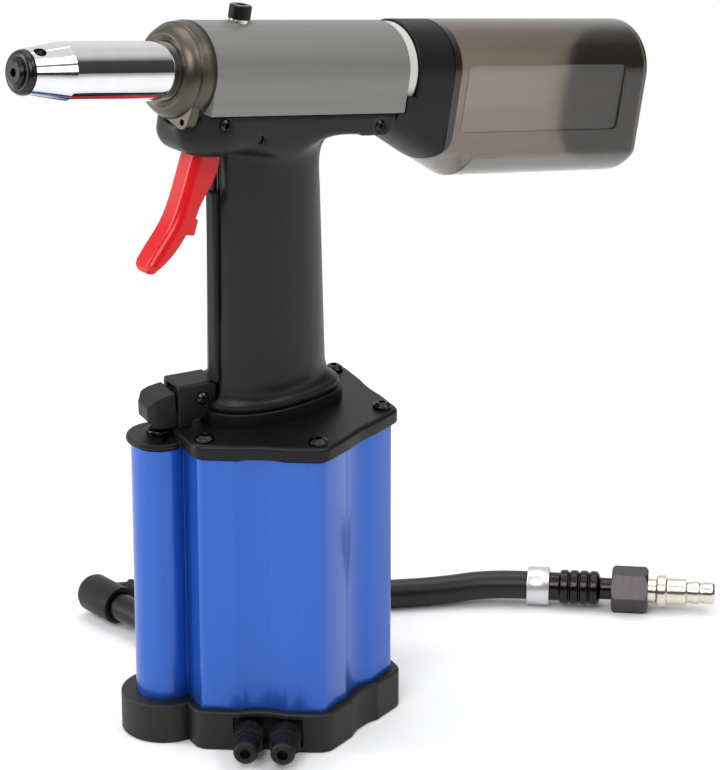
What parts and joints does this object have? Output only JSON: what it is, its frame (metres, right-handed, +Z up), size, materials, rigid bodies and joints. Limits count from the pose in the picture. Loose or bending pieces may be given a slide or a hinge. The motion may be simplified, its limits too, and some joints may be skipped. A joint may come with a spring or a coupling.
{
  "type": "pneumatic riveting tool",
  "caption": "Hand-held air-powered riveting tool with a raked pulling head, a trigger, a ribbed hexagonal air cylinder, a see-through mandrel collector and a short air hose.",
  "frame": {"origin": "centre of the flat underside of the base, on the axis of the air cylinder", "axes": "+Z up along the air cylinder, -X towards the nose, +X towards the collector, +Y towards the air inlet behind the base"},
  "size_m": [0.3421, 0.1928, 0.3217],
  "materials": {
    "blue_anodised": "satin blue anodised extrusion",
    "black_casting": "satin black coated casting",
    "grey_casting": "satin grey coated casting",
    "black_plastic": "moulded, fine matte",
    "red_plastic": "moulded, half gloss",
    "smoke_plastic": "see-through smoke grey, moulded",
    "white_plastic": "turned, satin",
    "pad_foam": "dense felt",
    "black_rubber": "moulded, matte",
    "hose_rubber": "smooth, half gloss",
    "chrome": "polished",
    "black_steel": "blackened",
    "gunmetal": "brown-grey satin",
    "bright_steel": "turned, bright",
    "brass": "turned",
    "aluminium": "turned"
  },
  "bodies": {
    "tool": {"rubber_boot": "black_rubber", "base_cap": "black_casting", "base_screws": "black_steel", "base_gasket": "black_rubber", "air_cylinder": "blue_anodised", "top_gasket": "black_rubber", "top_plate": "black_casting", "plate_screws": "black_steel", "silencers": "black_plastic", "ram_bush": "brass", "ram_seal": "black_rubber", "valve_spring": "bright_steel", "valve_gland": "black_steel", "handle": "black_casting", "cradle_screws": "black_steel", "rod_cover": "black_plastic", "trigger_pin": "black_steel", "trigger_spring": "bright_steel", "lever_bracket": "black_plastic", "lever_screw": "bright_steel", "head_cylinder": "grey_casting", "bleed_screw": "black_steel", "bleed_washer": "brass", "head_seal": "black_rubber", "lock_ring": "gunmetal", "nose_housing": "chrome", "nosepiece": "black_steel", "return_spring": "bright_steel", "rear_plug": "white_plastic", "collector_adapter": "black_plastic", "inlet_stub": "black_steel", "inlet_elbow": "black_plastic", "hose": "hose_rubber", "hose_ferrule": "bright_steel", "hose_tail": "black_rubber", "coupling_nut": "gunmetal", "quick_plug": "bright_steel"},
    "trigger": {"trigger": "red_plastic"},
    "trigger_rod": {"trigger_rod": "black_steel"},
    "lever": {"valve_lever": "black_plastic"},
    "spool": {"valve_spool": "black_steel"},
    "air_piston": {"air_piston": "aluminium", "air_piston_seal": "black_rubber", "ram_rod": "bright_steel"},
    "pull_piston": {"pull_piston": "bright_steel", "pull_piston_seal": "black_rubber", "mandrel_tube": "aluminium", "jaw_case": "bright_steel", "jaws": "bright_steel", "jaw_pusher": "bright_steel", "jaw_spring": "bright_steel"},
    "collector": {"collector_bottle": "smoke_plastic", "collector_pad": "pad_foam"}
  },
  "joints": [
    {"name": "trigger_pull", "type": "hinge", "parent": "tool", "child": "trigger", "pos_m": [-0.0199, 0, 0.2675], "axis": [0, -1, 0], "range_deg": [0, 11], "stiffness_Nm_per_rad": 0.8, "springref_deg": -5.73},
    {"name": "rod_push", "type": "slide", "parent": "tool", "child": "trigger_rod", "axis": [0, 0, -1], "range_m": [0, 0.0011], "deforming": ["trigger_spring"]},
    {"name": "lever_tip", "type": "hinge", "parent": "tool", "child": "lever", "pos_m": [-0.0339, 0.00908, 0.1524], "axis": [0.2588, 0.9659, 0], "range_deg": [0, 6]},
    {"name": "spool_lift", "type": "slide", "parent": "tool", "child": "spool", "axis": [0, 0, 1], "range_m": [0, 0.0018], "deforming": ["valve_spring"]},
    {"name": "air_lift", "type": "slide", "parent": "tool", "child": "air_piston", "axis": [0, 0, 1], "range_m": [0, 0.07]},
    {"name": "pull_stroke", "type": "slide", "parent": "tool", "child": "pull_piston", "axis": [0.9813, 0, -0.1925], "range_m": [0, 0.0201], "stiffness_N_per_m": 800, "springref_m": -0.005, "deforming": ["return_spring"]},
    {"name": "collector_pull_off", "type": "slide", "parent": "tool", "child": "collector", "axis": [0.9813, 0, -0.1925], "range_m": [0, 0.05]}
  ],
  "couplings": [
    {"joint": "rod_push", "follows": "trigger_pull", "m_per_rad": 0.005378},
    {"joint": "lever_tip", "follows": "trigger_pull", "ratio": 0.5215},
    {"joint": "spool_lift", "follows": "trigger_pull", "m_per_rad": 0.00872},
    {"joint": "pull_stroke", "follows": "air_lift", "ratio": 0.28571}
  ]
}
